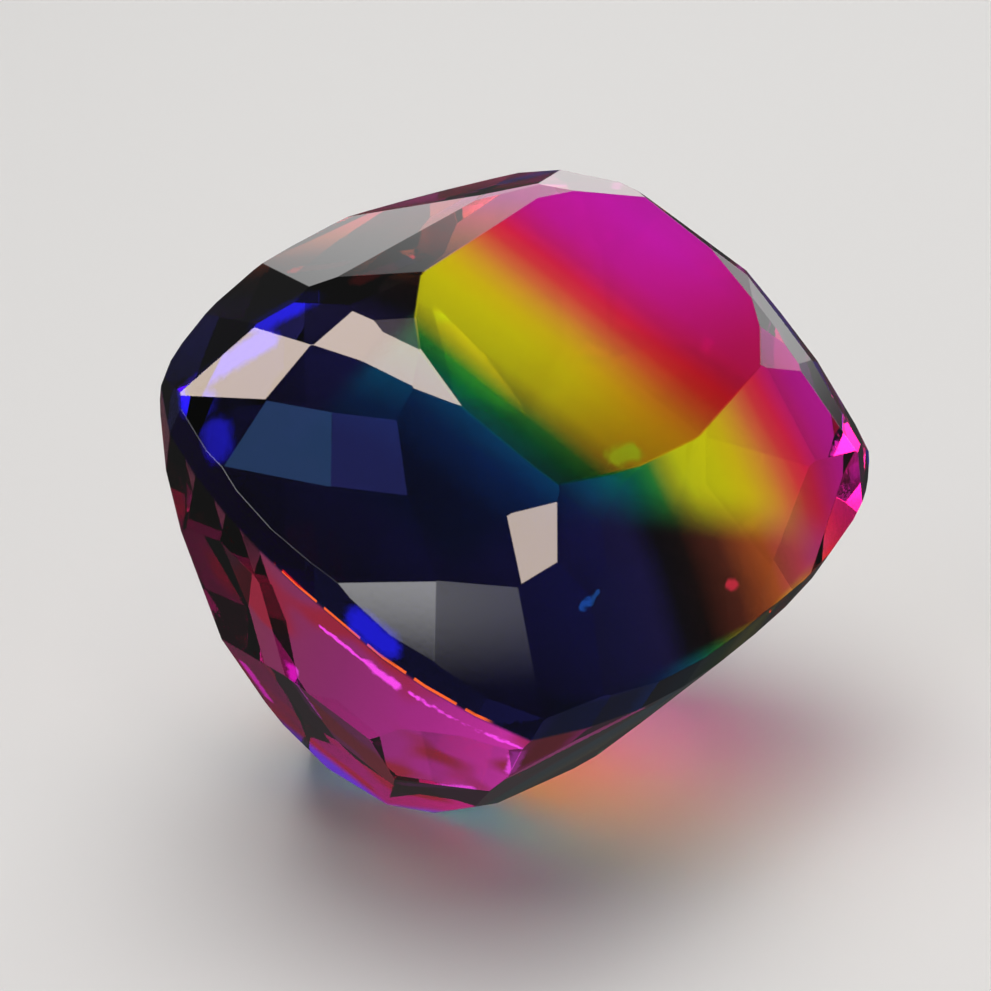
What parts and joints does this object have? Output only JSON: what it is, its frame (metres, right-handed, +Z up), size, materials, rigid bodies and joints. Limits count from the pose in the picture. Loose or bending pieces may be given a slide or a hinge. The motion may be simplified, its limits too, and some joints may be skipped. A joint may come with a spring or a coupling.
{
  "type": "faceted tourmaline",
  "caption": "Large cushion-cut transparent gemstone with a lens-shaped table, bowed sides and a deep pavilion, lying tilted on one bottom facet",
  "frame": {"origin": "centre of the bounding box at the level the stone lies on", "axes": "+Z up, -Y toward the front corner, resting facet facing -Z"},
  "size_m": [0.036, 0.038, 0.0304],
  "materials": {
    "tourmaline": "polished transparent tourmaline, colour zoned from blue through green, yellow and red to magenta"
  },
  "bodies": {
    "root": {"tourmaline": "tourmaline"}
  },
  "joints": []
}
